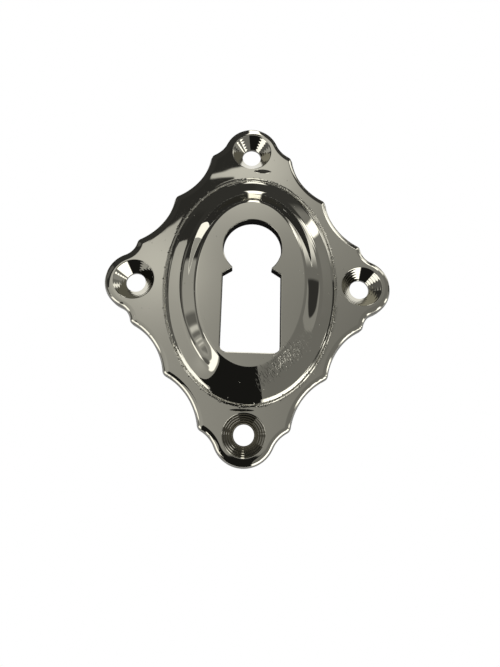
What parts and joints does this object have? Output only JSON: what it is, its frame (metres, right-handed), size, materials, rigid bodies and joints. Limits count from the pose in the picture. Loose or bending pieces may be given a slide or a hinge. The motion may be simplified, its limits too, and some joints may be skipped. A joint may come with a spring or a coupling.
{
  "type": "keyhole escutcheon",
  "caption": "Cast lozenge keyhole plate with scalloped sides, a raised moulded oval boss round the keyhole and a countersunk screw hole at each tip, polished and nickel plated.",
  "frame": {"origin": "middle of the back face, which lies against the door or drawer", "axes": "+Z out of the front face, +Y towards the round end of the keyhole, +X to the right seen from the front"},
  "size_m": [0.0508, 0.0628, 0.0051],
  "materials": {
    "polished_nickel": "polished nickel plate on cast brass"
  },
  "bodies": {
    "root": {"escutcheon_plate": "polished_nickel"}
  },
  "joints": []
}
